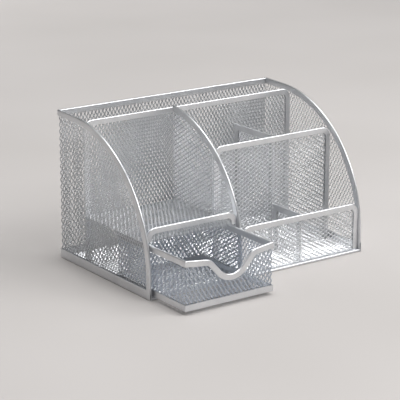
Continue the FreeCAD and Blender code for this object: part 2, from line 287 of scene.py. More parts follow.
class NodeTool:
    """A Geometry Nodes tree that turns a drawn guide into a finished mesh."""

    def __init__(self, name: str, inputs: dict[str, str]) -> None:
        """Makes the tree with its named inputs.

        Args:
            name: the tree's name.
            inputs: the kind of each input after the first, by its name.
        """
        self.tree = bpy.data.node_groups.new(name, "GeometryNodeTree")
        face = self.tree.interface
        self.keys = {}
        for label, kind in {"Guide": "Geometry", **inputs}.items():
            socket = face.new_socket(name=label, in_out="INPUT", socket_type="NodeSocket" + kind)
            self.keys[label] = socket.identifier
        face.new_socket(name="Piece", in_out="OUTPUT", socket_type="NodeSocketGeometry")
        self.add = partial(add_node, self.tree)
        self.given = self.add("NodeGroupInput").outputs

    def close(self, geometry: NodeSocket) -> None:
        """Ends the tree in real geometry with its material.

        Args:
            geometry: the socket that carries the finished shape.
        """
        real = self.add("GeometryNodeRealizeInstances", inputs={0: geometry})
        dressed = self.add("GeometryNodeSetMaterial", inputs={
            "Geometry": real.outputs[0], "Material": self.given["Finish"]})
        self.add("NodeGroupOutput", inputs={0: dressed.outputs[0]})

    def run(self, name: str, guide: Mesh, values: dict[str, Any]) -> Mesh:
        """Runs the tree on a guide.

        Args:
            name: the name of the piece.
            guide: the drawn outline or path.
            values: the inputs by name.

        Returns:
            The plain mesh that comes out, in the guide's own plane.
        """
        holder = into_scene(name + "_guide", guide)
        modifier = holder.modifiers.new(self.tree.name, "NODES")
        modifier.node_group = self.tree
        for label, value in values.items():
            modifier[self.keys[label]] = value
        graph = bpy.context.evaluated_depsgraph_get()
        mesh = bpy.data.meshes.new_from_object(holder.evaluated_get(graph))
        mesh.name = name
        bpy.data.objects.remove(holder)
        bpy.data.meshes.remove(guide)
        return mesh


def drawn(name: str, points: list[Pair], closed: bool, filled: bool) -> Mesh:
    """Draws a guide in its own plane.

    Args:
        name: the guide's name.
        points: its points in order.
        closed: whether the last point joins the first.
        filled: whether the outline carries a face.

    Returns:
        A mesh of edges, or of one face.
    """
    mesh = bpy.data.meshes.new(name)
    places = [(across, along, 0.0) for across, along in points]
    steps = [(number, number + 1) for number in range(len(points) - 1)]
    if closed and not filled:
        steps.append((len(points) - 1, 0))
    faces = [tuple(range(len(points)))] if filled else []
    mesh.from_pydata(places, [] if filled else steps, faces)
    mesh.update()
    return mesh


def arc(centre: Pair, radius: float, start: float, end: float, steps: int) -> list[Pair]:
    """Points along a circular arc.

    Args:
        centre: the circle's centre.
        radius: its radius.
        start: the first angle in radians, from the level right direction.
        end: the last angle.
        steps: the number of steps between them.

    Returns:
        The points, both ends among them.
    """
    angles = [start + (end - start) * step / steps for step in range(steps + 1)]
    return [(centre[0] + radius * math.cos(a), centre[1] + radius * math.sin(a)) for a in angles]


def rectangle(low_u: float, high_u: float, low_v: float, high_v: float) -> list[Pair]:
    """The four corners of a rectangle, one after another."""
    return [(low_u, low_v), (high_u, low_v), (high_u, high_v), (low_u, high_v)]


def arch(low_u: float, high_u: float, foot: float, top: float, radius: float,
         steps: int = 8) -> list[Pair]:
    """An arch from its left foot over its two round corners to its right foot.

    Args:
        low_u: the left side.
        high_u: the right side.
        foot: the level of both feet.
        top: the level of the top.
        radius: the radius of the corners.
        steps: the steps in each corner.

    Returns:
        The points in order.
    """
    left = arc((low_u + radius, top - radius), radius, math.pi, math.pi / 2, steps)
    right = arc((high_u - radius, top - radius), radius, math.pi / 2, 0.0, steps)
    return [(low_u, foot)] + left + right + [(high_u, foot)]


def fitted(length: float, pitch: float) -> float:
    """The pitch nearest to the wished one of which a whole number of halves fits the length."""
    return 2 * length / max(round(2 * length / pitch), 1)


@dataclass
class MeshCell:
    """One gap of the raised steel mesh with its half of the strands round it.

    The strands lean across the short way, as they do when a slit sheet is pulled apart.
    """

    strand: float = 0.55 * MM
    bond: float = 0.55 * MM
    lean: float = 0.42 * MM

    def draw(self, half_across: float, half_along: float, side: float) -> Object:
        """Draws the cell as eight faces between its outline and its gap.

        Args:
            half_across: half of the cell's short way.
            half_along: half of the cell's long way.
            side: 1 or -1, the side to which the strands lean.

        Returns:
            A scratch object for the mesh tree.
        """
        reach = half_across - self.strand
        tip = half_along - self.bond - self.strand
        slant = math.hypot(half_across, half_along) / half_along
        flank = (half_across / 2 - self.strand * slant / 2, half_along / 2 - self.bond / 4)
        outer = [(half_across, 0.0), (half_across / 2, half_along / 2), (0.0, half_along)]
        inner = [(reach, 0.0), flank, (0.0, tip)]
        rings = []
        # Three points of a quarter are mirrored into the eight of a ring
        for first, second, third in (outer, inner):
            ring = [first, second, third, (-second[0], second[1]), (-first[0], 0.0)]
            ring += [(-second[0], -second[1]), (0.0, -third[1]), (second[0], -second[1])]
            rings.append(ring)
        places = [(x, y, 0.0) for x, y in rings[0]]
        places += [(x, y, side * self.lean * x / reach) for x, y in rings[1]]
        faces = [(n, (n + 1) % 8, 8 + (n + 1) % 8, 8 + n) for n in range(8)]
        mesh = bpy.data.meshes.new("mesh_cell")
        mesh.from_pydata(places, [], faces)
        return into_scene("mesh_cell", mesh)


class MeshTool(NodeTool):
    """Fills a flat outline with raised diamond mesh and gives it a thickness."""

    # How far from the sheet the outline is looked for, and how near points are joined
    REACH = 10 * MM
    WELD = 0.02 * MM
    # How each vector of the grid follows from those before it
    SUMS = (
        # A grid of half pitches that starts one step outside the outline
        ("lead", "SUBTRACT", "low", "start"),
        ("steps in", "DIVIDE", "lead", "step"),
        ("whole steps in", "FLOOR", "steps in"),
        ("first step", "SUBTRACT", "whole steps in", (1.0, 1.0, 0.0)),
        ("first offset", "MULTIPLY", "first step", "step"),
        ("first", "ADD", "first offset", "start"),
        ("span", "SUBTRACT", "high", "first"),
        ("steps across", "DIVIDE", "span", "step"),
        ("whole steps across", "CEIL", "steps across"),
        ("steps", "ADD", "whole steps across", (1.0, 1.0, 0.0)),
        ("size", "MULTIPLY", "steps", "step"),
        # One point more than steps, and half a point because counts are rounded down
        ("counts", "ADD", "steps", (1.5, 1.5, 0.0)),
        ("half size", "MULTIPLY", "size", (0.5, 0.5, 0.0)),
        ("middle", "ADD", "half size", "first"),
        # The row and column of a grid point
        ("from start", "SUBTRACT", "here", "start"),
        ("steps from start", "DIVIDE", "from start", "step"),
        ("raised", "ADD", "steps from start", (0.5, 0.5, 0.0)),
        ("row and column", "FLOOR", "raised"),
        ("above", "ADD", "here", (0.0, 0.0, REACH)))

    def __init__(self) -> None:
        """Builds the tree."""
        super().__init__("raised_mesh", {
            "Cell": "Object", "Half pitch": "Vector", "Start": "Vector", "Thickness": "Float",
            "Finish": "Material"})
        add, given = self.add, self.given
        box = add("GeometryNodeBoundBox", inputs={0: given["Guide"]}).outputs
        here = add("GeometryNodeInputPosition").outputs[0]
        known = {"low": box["Min"], "high": box["Max"], "here": here, "start": given["Start"],
                 "step": given["Half pitch"]}
        for name, operation, *sources in self.SUMS:
            values = [known[source] if isinstance(source, str) else source for source in sources]
            known[name] = add("ShaderNodeVectorMath", {"operation": operation},
                              dict(enumerate(values))).outputs["Vector"]
        counts = add("ShaderNodeSeparateXYZ", inputs={0: known["counts"]}).outputs
        sizes = add("ShaderNodeSeparateXYZ", inputs={0: known["size"]}).outputs
        grid = add("GeometryNodeMeshGrid", inputs={
            "Size X": sizes[0], "Size Y": sizes[1], "Vertices X": counts[0],
            "Vertices Y": counts[1]})
        placed = add("GeometryNodeSetPosition", inputs={
            "Geometry": grid.outputs["Mesh"], "Offset": known["middle"]})

        # Every second grid point carries a cell, staggered from row to row
        parts = add("ShaderNodeSeparateXYZ", inputs={
            0: known["row and column"]}).outputs
        total = add("ShaderNodeMath", {"operation": "ADD"}, {0: parts[0], 1: parts[1]})
        odd = add("ShaderNodeMath", {"operation": "FLOORED_MODULO"}, {
            0: total.outputs[0], 1: 2.0})
        even = add("ShaderNodeMath", {"operation": "LESS_THAN"}, {0: odd.outputs[0], 1: 0.5})
        cell = add("GeometryNodeObjectInfo", inputs={"Object": given["Cell"]})
        cells = add("GeometryNodeInstanceOnPoints", inputs={
            "Points": placed.outputs[0], "Selection": even.outputs[0],
            "Instance": cell.outputs["Geometry"]})
        real = add("GeometryNodeRealizeInstances", inputs={0: cells.outputs[0]})

        # What lies outside the outline is cut away
        ray = add("GeometryNodeRaycast", inputs={
            "Target Geometry": given["Guide"], "Source Position": known["above"],
            "Ray Direction": (0.0, 0.0, -1.0), "Ray Length": 2 * self.REACH})
        outside = add("FunctionNodeBooleanMath", {"operation": "NOT"}, {
            0: ray.outputs["Is Hit"]})
        cut = add("GeometryNodeDeleteGeometry", {"domain": "FACE"}, {
            "Geometry": real.outputs[0], "Selection": outside.outputs[0]})

        # The sheet's thickness, half to each side
        lower = add("ShaderNodeMath", {"operation": "MULTIPLY"}, {
            0: given["Thickness"], 1: -0.5})
        drop = add("ShaderNodeCombineXYZ", inputs={2: lower.outputs[0]})
        welded = add("GeometryNodeMergeByDistance", inputs={
            "Geometry": cut.outputs[0], "Distance": self.WELD})
        bottom = add("GeometryNodeSetPosition", inputs={
            "Geometry": welded.outputs[0], "Offset": drop.outputs[0]})
        top = add("GeometryNodeExtrudeMesh", inputs={
            "Mesh": bottom.outputs[0], "Offset": (0.0, 0.0, 1.0),
            "Offset Scale": given["Thickness"], "Individual": False})
        under = add("GeometryNodeFlipFaces", inputs={0: bottom.outputs[0]})
        both = add("GeometryNodeJoinGeometry")
        for skin in (top.outputs["Mesh"], under.outputs[0]):
            self.tree.links.new(skin, both.inputs[0])
        closed = add("GeometryNodeMergeByDistance", inputs={
            "Geometry": both.outputs[0], "Distance": self.WELD})
        self.close(closed.outputs[0])


class StripTool(NodeTool):
    """Sweeps a folded section along a path, its ends square or on the slant."""

    SHIFT = "end_shift"
    PLACE = "path_place"
    WIDEN = "corner_share"

    def __init__(self) -> None:
        """Builds the tree."""
        super().__init__("folded_strip", {
            "Section": "Object", "Start mitre": "Float", "End mitre": "Float",
            "Finish": "Material"})
        add, given = self.add, self.given
        path = add("GeometryNodeMeshToCurve", inputs={0: given["Guide"]})
        level = add("GeometryNodeSetCurveNormal", {"mode": "Z_UP"}, {"Curve": path.outputs[0]})
        starts, ends = (add("GeometryNodeCurveEndpointSelection", inputs={
            "Start Size": first, "End Size": last}) for first, last in ((1, 0), (0, 1)))
        at_start = add("ShaderNodeMath", {"operation": "MULTIPLY"}, {
            0: starts.outputs[0], 1: given["Start mitre"]})
        at_both = add("ShaderNodeMath", {"operation": "MULTIPLY_ADD"}, {
            0: ends.outputs[0], 1: given["End mitre"], 2: at_start.outputs[0]})
        tangent = add("GeometryNodeInputTangent").outputs[0]
        shift = add("ShaderNodeVectorMath", {"operation": "SCALE"}, {
            0: tangent, "Scale": at_both.outputs[0]})
        marked = add("GeometryNodeStoreNamedAttribute", {"data_type": "FLOAT_VECTOR"}, {
            "Geometry": level.outputs[0], "Name": self.SHIFT, "Value": shift.outputs["Vector"]})
        here = add("GeometryNodeInputPosition").outputs[0]
        placed = add("GeometryNodeStoreNamedAttribute", {"data_type": "FLOAT_VECTOR"}, {
            "Geometry": marked.outputs[0], "Name": self.PLACE, "Value": here})
        section = add("GeometryNodeObjectInfo", inputs={"Object": given["Section"]})
        outline = add("GeometryNodeMeshToCurve", inputs={0: section.outputs["Geometry"]})
        swept = add("GeometryNodeCurveToMesh", inputs={
            "Curve": placed.outputs[0], "Profile Curve": outline.outputs[0], "Fill Caps": True})

        # A section that stands in a corner of the path is wider by the corner's share
        centre, kept, share = (add("GeometryNodeInputNamedAttribute", {"data_type": kind}, {
            "Name": name}).outputs["Attribute"] for name, kind in (
                (self.PLACE, "FLOAT_VECTOR"), (self.SHIFT, "FLOAT_VECTOR"), (self.WIDEN, "FLOAT")))
        shares = add("ShaderNodeCombineXYZ", inputs={0: share, 1: share, 2: 1.0}).outputs[0]
        offset = add("ShaderNodeVectorMath", {"operation": "SUBTRACT"}, {
            0: here, 1: centre})
        wide = add("ShaderNodeVectorMath", {"operation": "MULTIPLY"}, {
            0: offset.outputs["Vector"], 1: shares})
        moved = add("ShaderNodeVectorMath", {"operation": "ADD"}, {
            0: centre, 1: wide.outputs["Vector"]})
        widened = add("GeometryNodeSetPosition", inputs={
            "Geometry": swept.outputs[0], "Position": moved.outputs["Vector"]})

        # A mitred end slants with the distance from the strip's middle plane
        across = add("ShaderNodeSeparateXYZ", inputs={0: here}).outputs[2]
        slant = add("ShaderNodeVectorMath", {"operation": "SCALE"}, {0: kept, "Scale": across})
        slanted = add("GeometryNodeSetPosition", inputs={
            "Geometry": widened.outputs[0], "Offset": slant.outputs["Vector"]})
        self.close(slanted.outputs[0])

    def draw_path(self, name: str, points: list[Pair]) -> Mesh:
        """Draws a path, with how much wider the strip is at each of its corners.

        Args:
            name: the path's name.
            points: its points in order.

        Returns:
            The guide for this tree.
        """
        guide = drawn(name, points, False, False)
        shares = guide.attributes.new(self.WIDEN, "FLOAT", "POINT")
        for number in range(len(points)):
            shares.data[number].value = 1.0
            if 0 < number < len(points) - 1:
                before, here, after = (Vector(points[number + step]) for step in (-1, 0, 1))
                turn = (here - before).angle(after - here)
                shares.data[number].value = 1 / math.cos(turn / 2)
        return guide


@dataclass
class StripSection:
    """The folded section of a strip: two leaves that grip the mesh, and a round outer fold."""

    width: float = 5 * MM
    thickness: float = 2 * MM
    leaf: float = 0.5 * MM
    fold_radius: float = 1 * MM
    least_radius: float = 0.25 * MM
    steps: int = 6

    def draw(self) -> Object:
        """Draws the section as a closed line, from its fold at the origin along its leaves.

        Returns:
            A scratch object for the strip tree.
        """
        half = self.thickness / 2
        radius = min(self.fold_radius, half)
        inner = half - self.leaf
        inner_radius = max(radius - self.leaf, self.least_radius)
        turn = math.pi / 2
        outline = [(self.width, -half)]
        outline += arc((radius, radius - half), radius, -turn, -2 * turn, self.steps)
        outline += arc((radius, half - radius), radius, 2 * turn, turn, self.steps)
        outline += [(self.width, half), (self.width, inner)]
        bend = self.leaf + inner_radius
        outline += arc((bend, inner - inner_radius), inner_radius, turn, 2 * turn, self.steps)
        outline += arc((bend, inner_radius - inner), inner_radius, 2 * turn, 3 * turn, self.steps)
        outline.append((self.width, -inner))
        unique = [point for number, point in enumerate(outline)
                  if math.dist(point, outline[number - 1]) > SAME_PLACE]
        return into_scene("strip_section", drawn("strip_section", unique, True, False))


def face_outwards(mesh: Mesh) -> None:
    """Turns a closed mesh the right way out if its faces point inwards.

    Args:
        mesh: the mesh, which is changed.
    """
    body = bmesh.new()
    body.from_mesh(mesh)
    if body.calc_volume(signed=True) < 0:
        bmesh.ops.reverse_faces(body, faces=body.faces)
        body.to_mesh(mesh)
    body.free()


@dataclass(frozen=True)
class Bend:
    """An edge at which a sheet is bent square into the next one, so that both end on the slant."""

    place: float
    slant: float
    upright: bool = True

    def cut(self, mesh: Mesh, tolerance: float) -> None:
        """Slants the sheet's edge by the distance from its middle plane.

        Args:
            mesh: the sheet in its own plane, which is changed.
            tolerance: how near to the edge a point counts as on it.
        """
        axis = 0 if self.upright else 1
        for vertex in mesh.vertices:
            if abs(vertex.co[axis] - self.place) < tolerance:
                vertex.co[axis] += self.slant * vertex.co.z


@dataclass
class Workshop:
    """The tools, finishes and sizes that the sub-assemblies share, and the pieces made so far.

    A sheet's edge lies in its strip, hidden_edge below the strip's fold.
    """

    finishes: Finishes
    mesh_tool: MeshTool = field(default_factory=MeshTool)
    strip_tool: StripTool = field(default_factory=StripTool)
    cell: MeshCell = field(default_factory=MeshCell)
    # Floors and the shelf carry the load, so their strands are wider
    floor_cell: MeshCell = field(default_factory=lambda: MeshCell(strand=0.66 * MM))
    sheet_thickness: float = 0.36 * MM
    hidden_edge: float = 1.2 * MM
    sharp_angle: float = math.radians(40)
    pieces: list[Object] = field(default_factory=list)

    def finish_piece(self, mesh: Mesh, node: str, body: Body, smooth: bool) -> None:
        """Makes the mesh a piece of the object that stands for its node.

        Args:
            mesh: the finished mesh in its place.
            node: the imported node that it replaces.
            body: the body that it rides on.
            smooth: whether its rounded edges are shaded smooth.
        """
        face_outwards(mesh)
        if smooth:
            mesh.shade_smooth()
            mesh.set_sharp_from_angle(angle=self.sharp_angle)
        else:
            mesh.shade_flat()
        piece = into_scene(node + "_piece", mesh)
        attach(piece, body.value)
        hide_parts(node)
        self.pieces.append(piece)

    def sheet(self, node: str, facing: Facing, level: float, outline: list[Pair], pitch: Pair,
              start: Pair, long_way: LongWay = LongWay.UPRIGHT, body: Body = Body.STAND,
              bends: tuple[Bend, ...] = (), lean: float = -1.0) -> None:
        """Makes a sheet of raised mesh.

        Args:
            node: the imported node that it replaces.
            facing: the way the sheet faces.
            level: its middle plane along that axis.
            outline: its outline, level right and level up.
            pitch: the cell's size, level right and level up.
            start: a cell's middle.
            long_way: the way the gaps' long way runs.
            body: the body that it rides on.
            bends: the edges at which it is bent into the next sheet.
            lean: 1 or -1, the side to which its strands lean.
        """
        swapped = long_way is LongWay.LEVEL
        if swapped:
            outline = [point[::-1] for point in outline]
            pitch, start = pitch[::-1], start[::-1]
        shape = self.floor_cell if facing is Facing.UP else self.cell
        cell = shape.draw(pitch[0] / 2, pitch[1] / 2, lean)
        finish = self.finishes.sheet if body is Body.STAND else self.finishes.drawer_sheet_painted_shade
        mesh = self.mesh_tool.run(node, drawn(node, outline, True, True), {
            "Cell": cell, "Half pitch": (pitch[0] / 2, pitch[1] / 2, 1.0), "Start": (*start, 0.0),
            "Thickness": self.sheet_thickness, "Finish": finish})
        bpy.data.meshes.remove(cell.data)
        for bend in bends:
            bend.cut(mesh, self.mesh_tool.WELD)
        mesh.transform(facing.placement(level, swapped))
        self.finish_piece(mesh, node, body, False)

    def strip(self, node: str, facing: Facing, level: float, path: list[Pair],
              section: StripSection, body: Body = Body.STAND, mitres: Pair = (0.0, 0.0)) -> None:
        """Makes a folded strip along a path. The leaves lie to the right of the way the path runs.

        Args:
            node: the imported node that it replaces.
            facing: the way the strip's leaves face.
            level: its middle plane along that axis.
            path: the line of its outer fold.
            section: its folded section.
            body: the body that it rides on.
            mitres: how its first and last ends slant, from -1 to 1.
        """
        profile = section.draw()
        finish = self.finishes.strip if body is Body.STAND else self.finishes.drawer_strip
        mesh = self.strip_tool.run(node, self.strip_tool.draw_path(node, path), {
            "Section": profile, "Start mitre": mitres[0], "End mitre": mitres[1], "Finish": finish})
        bpy.data.meshes.remove(profile.data)
        for label in (StripTool.SHIFT, StripTool.PLACE, StripTool.WIDEN):
            if label in mesh.attributes:
                mesh.attributes.remove(mesh.attributes[label])
        mesh.transform(facing.placement(level))
        self.finish_piece(mesh, node, body, True)


@dataclass
class SideCurve:
    """The curved edge of the sides: an upright foot, one arc and a gently sloping top."""

    front: float
    back: float
    top: float
    foot_upright: float = 17 * MM
    slope: float = 0.03

    @property
    def radius(self) -> float:
        """Radius of the arc that touches the foot and the slope."""
        rise = self.top - self.foot_upright - self.slope * (self.back - self.front)
        return rise / (math.hypot(1, self.slope) - self.slope)

    @property
    def centre(self) -> Pair:
        """Centre of the arc."""
        return self.front + self.radius, self.foot_upright

    def path(self, foot: float, end: float, inset: float = 0.0, steps: int = 44) -> list[Pair]:
        """The curved edge from its front foot to its back end.

        Args:
            foot: the level of the front foot.
            end: the place of the back end.
            inset: how far the edge is moved in.
            steps: the steps in the arc.

        Returns:
            The points in order.
        """
        radius = self.radius - inset
        slope_angle = math.pi / 2 + math.atan(self.slope)
        last = max(slope_angle, math.acos(min((end - self.centre[0]) / radius, 1.0)))
        points = [(self.front + inset, foot)] + arc(self.centre, radius, math.pi, last, steps)
        if last == slope_angle:
            corner = points[-1]
            points.append((end, corner[1] + self.slope * (end - corner[0])))
        return points


@dataclass
class Block:
    """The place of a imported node."""

    low: Vector
    high: Vector

    @classmethod
    def of(cls, node: str) -> "Block":
        """Reads a node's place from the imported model."""
        return cls(*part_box(node))

    def middle(self, axis: int) -> float:
        """The middle of the block along an axis."""
        return (self.low[axis] + self.high[axis]) / 2


@dataclass
class OuterShell:
    """The stand's two curved sides, its back and its floor, with the strips round their edges."""

    shop: Workshop
    pitch: Pair = (3.6 * MM, 6.0 * MM)
    floor_pitch: Pair = (6.0 * MM, 3.6 * MM)
    rim: StripSection = field(default_factory=StripSection)
    front_leaf: float = 0.7 * MM
    floor_reach: float = 0.2 * MM

    def __post_init__(self) -> None:
        """Reads the stand's outline from its packed strips."""
        self.left = Block.of("left_side_rim")
        self.right = Block.of("right_side_rim")
        self.back = Block.of("back_top_rim")
        self.curve = SideCurve(self.left.low.y, self.left.high.y, self.left.high.z)
        self.corner_y = self.back.middle(1)

    def build(self) -> None:
        """Builds every piece of the shell."""
        for side, block, outward in (("left", self.left, -1.0), ("right", self.right, 1.0)):
            self.build_side(side, block.middle(0), outward)
        self.build_back()
        self.build_floor()

    def build_side(self, side: str, level: float, outward: float) -> None:
        """Builds one side: its mesh, its curved rim and its bottom strip.

        Args:
            side: left or right.
            level: the side's middle plane.
            outward: the direction of its outer face along the first axis.
        """
        edge = self.shop.hidden_edge
        foot = Block.of(side + "_bottom_strip")
        outline = self.curve.path(edge, self.corner_y, edge) + [(self.corner_y, edge)]
        self.shop.sheet(side + "_side_mesh", Facing.SIDEWAYS, level, outline, self.shell_pitch(),
                        (self.corner_y, 0.0), bends=(Bend(self.corner_y, outward),))
        rim = self.curve.path(foot.high.z, self.corner_y - self.rim.width * self.curve.slope)
        self.shop.strip(side + "_side_rim", Facing.SIDEWAYS, level, rim, self.rim,
                        mitres=(0.0, outward))
        bottom = StripSection(foot.high.z)
        self.shop.strip(side + "_bottom_strip", Facing.SIDEWAYS, level,
                        [(self.corner_y, 0.0), (foot.low.y, 0.0)], bottom, mitres=(-outward, 0.0))

    def shell_pitch(self) -> Pair:
        """The cell size with which the mesh runs on round both back corners."""
        span = self.right.middle(0) - self.left.middle(0)
        return fitted(span, self.pitch[0]), self.pitch[1]

    def build_back(self) -> None:
        """Builds the back: its mesh, its top rim and its bottom strip."""
        left, right, level = self.left.middle(0), self.right.middle(0), self.corner_y
        top, edge = self.back.high.z, self.shop.hidden_edge
        outline = rectangle(left, right, edge, top - edge)
        self.shop.sheet("back_mesh", Facing.FRONT, level, outline, self.shell_pitch(), (left, 0.0),
                        bends=(Bend(left, 1.0), Bend(right, -1.0)))
        self.shop.strip("back_top_rim", Facing.FRONT, level, [(left, top), (right, top)], self.rim,
                        mitres=(1.0, -1.0))
        foot = StripSection(Block.of("back_bottom_strip").high.z)
        self.shop.strip("back_bottom_strip", Facing.FRONT, level, [(right, 0.0), (left, 0.0)], foot,
                        mitres=(1.0, -1.0))

    def build_floor(self) -> None:
        """Builds the floor: its mesh, and the strip folded round its front edge."""
        front = Block.of("front_bottom_strip")
        section = StripSection(front.high.y - front.low.y, front.high.z - front.low.z,
                               leaf=self.front_leaf)
        path = [(front.high.x, front.low.y), (front.low.x, front.low.y)]
        self.shop.strip("front_bottom_strip", Facing.UP, front.middle(2), path, section)
        reach = self.floor_reach
        outline = rectangle(self.left.middle(0) - reach, self.right.middle(0) + reach,
                            front.low.y + self.shop.hidden_edge, self.corner_y)
        self.shop.sheet("base_mesh", Facing.UP, front.middle(2), outline, self.floor_pitch,
                        (0.0, self.corner_y), LongWay.LEVEL, lean=1.0)


@dataclass
class FramedWall:
    """An inner wall of mesh with a strip round its two uprights and its top."""

    shop: Workshop
    name: str
    facing: Facing
    long_way: LongWay
    corner_radius: float
    lean: float
    pitch: Pair = (3.6 * MM, 6.0 * MM)
    foot_seat: float = 0.2 * MM
    strip: StripSection = field(default_factory=StripSection)

    def build(self) -> None:
        """Builds the wall's mesh and its frame in their packed places."""
        frame = Block.of(self.name + "_frame")
        across, facing_axis = (1, 0) if self.facing is Facing.SIDEWAYS else (0, 1)
        low, high = frame.low[across], frame.high[across]
        level = frame.middle(facing_axis)
        path = self.edge_line(low, high, frame.low.z, frame.high.z, 0.0)
        self.shop.strip(self.name + "_frame", self.facing, level, path, self.strip)

        edge = self.shop.hidden_edge
        foot = frame.low.z - self.foot_seat
        outline = self.edge_line(low, high, foot, frame.high.z, edge)
        pitch = self.pitch if self.long_way is LongWay.UPRIGHT else self.pitch[::-1]
        middle = (low + high) / 2
        self.shop.sheet(self.name + "_mesh", self.facing, level, outline, pitch, (middle, foot),
                        self.long_way, lean=self.lean)

    def edge_line(self, low: float, high: float, foot: float, top: float,
                  inset: float) -> list[Pair]:
        """The wall's edge from foot to foot, its two upper corners round or square.

        Args:
            low: its lower side.
            high: its higher side.
            foot: the level of its feet.
            top: the level of its top.
            inset: how far the uprights and the top are moved in.

        Returns:
            The points in order.
        """
        low, high, top = low + inset, high - inset, top - inset
        if self.corner_radius == 0.0:
            return [(low, foot), (low, top), (high, top), (high, foot)]
        return arch(low, high, foot, top, self.corner_radius - inset)


@dataclass
class CentrePartition:
    """The wall between the drawer's bay and the cups, with the same curved edge as the sides."""

    shop: Workshop
    curve: SideCurve
    pitch: Pair = (6.0 * MM, 3.6 * MM)
    foot: float = 1.5 * MM
    strip: StripSection = field(default_factory=StripSection)

    def build(self) -> None:
        """Builds the partition's mesh and its curved rim."""
        rim = Block.of("centre_partition_rim")
        level, back = rim.middle(0), rim.high.y
        self.shop.strip("centre_partition_rim", Facing.SIDEWAYS, level,
                        self.curve.path(rim.low.z, back), self.strip)
        outline = self.curve.path(self.foot, back, self.shop.hidden_edge) + [(back, self.foot)]
        self.shop.sheet("centre_partition_mesh", Facing.SIDEWAYS, level, outline, self.pitch,
                        (back, self.foot), LongWay.LEVEL)


@dataclass
class Shelf:
    """The mesh shelf over the drawer, bent up at its front into a lip with a strip."""

    shop: Workshop
    pitch: Pair = (3.7 * MM, 6.0 * MM)
    corner_radius: float = ROUND_CORNER
    side_reach: float = 0.7 * MM
    strip: StripSection = field(default_factory=StripSection)

    def build(self) -> None:
        """Builds the shelf, the lip's mesh and the lip's strip."""
        shelf, lip = Block.of("shelf_mesh"), Block.of("shelf_lip_rim")
        left, right = shelf.low.x - self.side_reach, shelf.high.x + self.side_reach
        bend, level = lip.middle(1), shelf.middle(2)
        pitch = (fitted(right - left, self.pitch[0]), fitted(shelf.high.y - bend, self.pitch[1]))
        outline = rectangle(left, right, bend, shelf.high.y)
        self.shop.sheet("shelf_mesh", Facing.UP, level, outline, pitch, (left, bend),
                        bends=(Bend(bend, 1.0, upright=False),), lean=1.0)
        edge = self.shop.hidden_edge
        outline = arch(lip.low.x + edge, lip.high.x - edge, level, lip.high.z - edge,
                       self.corner_radius - edge)
        self.shop.sheet("shelf_lip_mesh", Facing.FRONT, bend, outline, pitch, (left, level),
                        bends=(Bend(level, -1.0, upright=False),))
        path = arch(lip.low.x, lip.high.x, lip.low.z, lip.high.z, self.corner_radius)
        self.shop.strip("shelf_lip_rim", Facing.FRONT, bend, path, self.strip)


@dataclass
class ScoopEdge:
    """The upper edge of the drawer's front, which dips into a scoop for a finger.

    On each side the flank rises steeply, and a gentle slope runs on to the upright.
    """

    left: float
    right: float
    top: float
    depth: float = 18.8 * MM
    offset: float = 2.0 * MM
    floor_radius: float = 14 * MM
    shoulder_radius: float = 11 * MM
    flank: float = math.radians(48)
    gentle: float = math.radians(7)
    floor_steps: int = 10
    shoulder_steps: int = 8

    @property
    def middle(self) -> float:
        """The place of the scoop's lowest point."""
        return (self.left + self.right) / 2 + self.offset

    def half(self, side: float, end: float, inset: float) -> list[Pair]:
        """One half of the edge, from the scoop's lowest point out to an upright.

        Args:
            side: 1 to the right and -1 to the left.
            end: where the upright stands.
            inset: how far the edge is moved in.

        Returns:
            The points in order.
        """
        # The straight flank is as long as lets the gentle end line meet the upright at the top
        reach = side * ((self.right if side > 0 else self.left) - self.middle)
        across = reach - (self.floor_radius + self.shoulder_radius) * math.sin(self.flank)
        across += self.shoulder_radius * math.sin(self.gentle)
        up = self.depth - self.floor_radius * (1 - math.cos(self.flank))
        up -= self.shoulder_radius * (math.cos(self.gentle) - math.cos(self.flank))
        run = up * math.cos(self.gentle) - across * math.sin(self.gentle)
        run /= math.sin(self.flank - self.gentle)
        floor = (0.0, self.top - self.depth + self.floor_radius)
        down = -math.pi / 2
        foot = arc(floor, self.floor_radius, down, down + self.flank, 1)[1]
        head = (foot[0] + run * math.cos(self.flank), foot[1] + run * math.sin(self.flank))
        crown = (head[0] + self.shoulder_radius * math.sin(self.flank),
                 head[1] - self.shoulder_radius * math.cos(self.flank))
        points = arc(floor, self.floor_radius + inset, down, down + self.flank, self.floor_steps)
        points += arc(crown, self.shoulder_radius - inset, self.flank - down, self.gentle - down,
                      self.shoulder_steps)
        far = side * (end - self.middle)
        last = points[-1]
        points.append((far, last[1] + (far - last[0]) * math.tan(self.gentle)))
        return [(self.middle + side * u, v) for u, v in points]

    def path(self, left: float, right: float, inset: float = 0.0) -> list[Pair]:
        """The whole edge from left to right.

        Args:
            left: where it starts.
            right: where it ends.
            inset: how far it is moved in.

        Returns:
            The points in order.
        """
        return self.half(-1.0, left, inset)[:0:-1] + self.half(1.0, right, inset)


